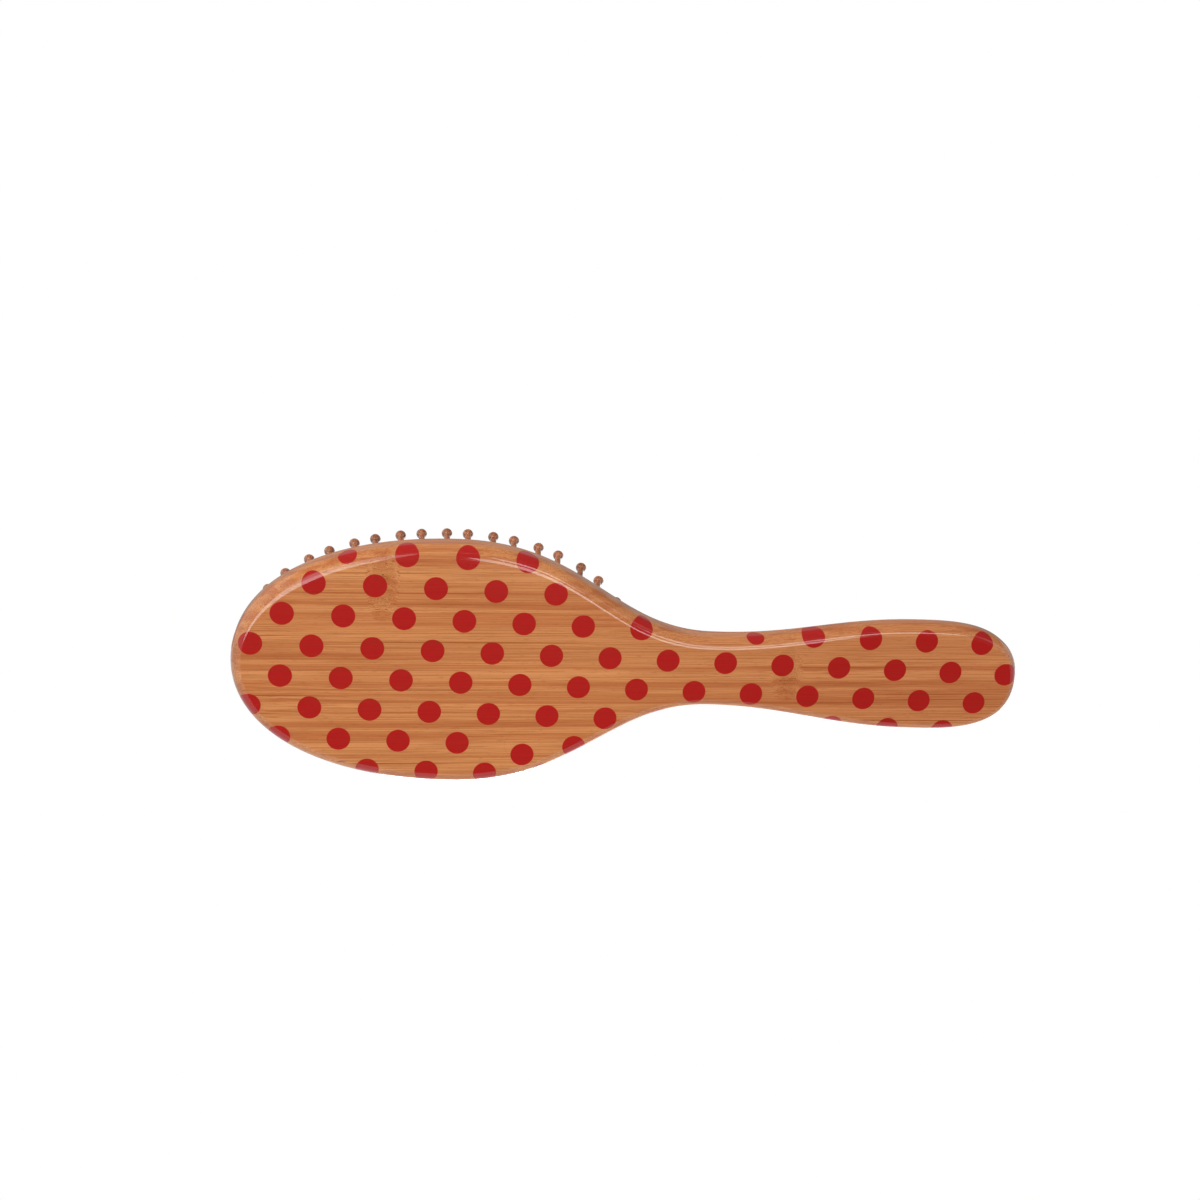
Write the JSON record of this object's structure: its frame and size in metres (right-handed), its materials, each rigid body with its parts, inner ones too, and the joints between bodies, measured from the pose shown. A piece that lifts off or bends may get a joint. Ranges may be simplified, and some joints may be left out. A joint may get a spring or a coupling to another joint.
{
  "type": "cushion hair brush",
  "caption": "Oval cushion hair brush: a spotted bamboo board with a handle, a domed rubber air cushion and wooden pins with ball tips.",
  "frame": {"origin": "on the flat back face, at the widest line of the head, on the brush's middle line", "axes": "+X along the brush from the head to the handle, +Z out of the cushion the way the pins point, so the brush lies on its back"},
  "size_m": [0.222, 0.0686, 0.0371],
  "materials": {
    "bamboo": "gloss lacquer over bamboo, printed with red dots",
    "rubber": "matte moulded rubber",
    "pin_wood": "varnished turned wood"
  },
  "bodies": {
    "board": {"bamboo_body": "bamboo", "rubber_cushion": "rubber"},
    "outer_pins": {"outer_pins_head_end": "pin_wood", "outer_pins_right": "pin_wood", "outer_pins_handle_end": "pin_wood", "outer_pins_left": "pin_wood"},
    "second_pins": {"second_pins_head_end": "pin_wood", "second_pins_right": "pin_wood", "second_pins_handle_end": "pin_wood", "second_pins_left": "pin_wood"},
    "third_pins": {"third_pins_head_end": "pin_wood", "third_pins_right": "pin_wood", "third_pins_handle_end": "pin_wood", "third_pins_left": "pin_wood"},
    "inner_pins": {"inner_pins_head_end": "pin_wood", "inner_pins_right": "pin_wood", "inner_pins_handle_end": "pin_wood", "inner_pins_left": "pin_wood"}
  },
  "joints": [
    {"name": "cushion_press", "type": "slide", "parent": "board", "child": "inner_pins", "axis": [0, 0, -1], "range_m": [0, 0.0032], "stiffness_N_per_m": 2000, "deforming": ["rubber_cushion"]},
    {"name": "third_ring_sink", "type": "slide", "parent": "board", "child": "third_pins", "axis": [0, 0, -1], "range_m": [0, 0.00285]},
    {"name": "second_ring_sink", "type": "slide", "parent": "board", "child": "second_pins", "axis": [0, 0, -1], "range_m": [0, 0.00216]},
    {"name": "outer_ring_sink", "type": "slide", "parent": "board", "child": "outer_pins", "axis": [0, 0, -1], "range_m": [0, 0.00114]}
  ],
  "couplings": [
    {"joint": "third_ring_sink", "follows": "cushion_press", "ratio": 0.887},
    {"joint": "second_ring_sink", "follows": "cushion_press", "ratio": 0.671},
    {"joint": "outer_ring_sink", "follows": "cushion_press", "ratio": 0.353}
  ]
}
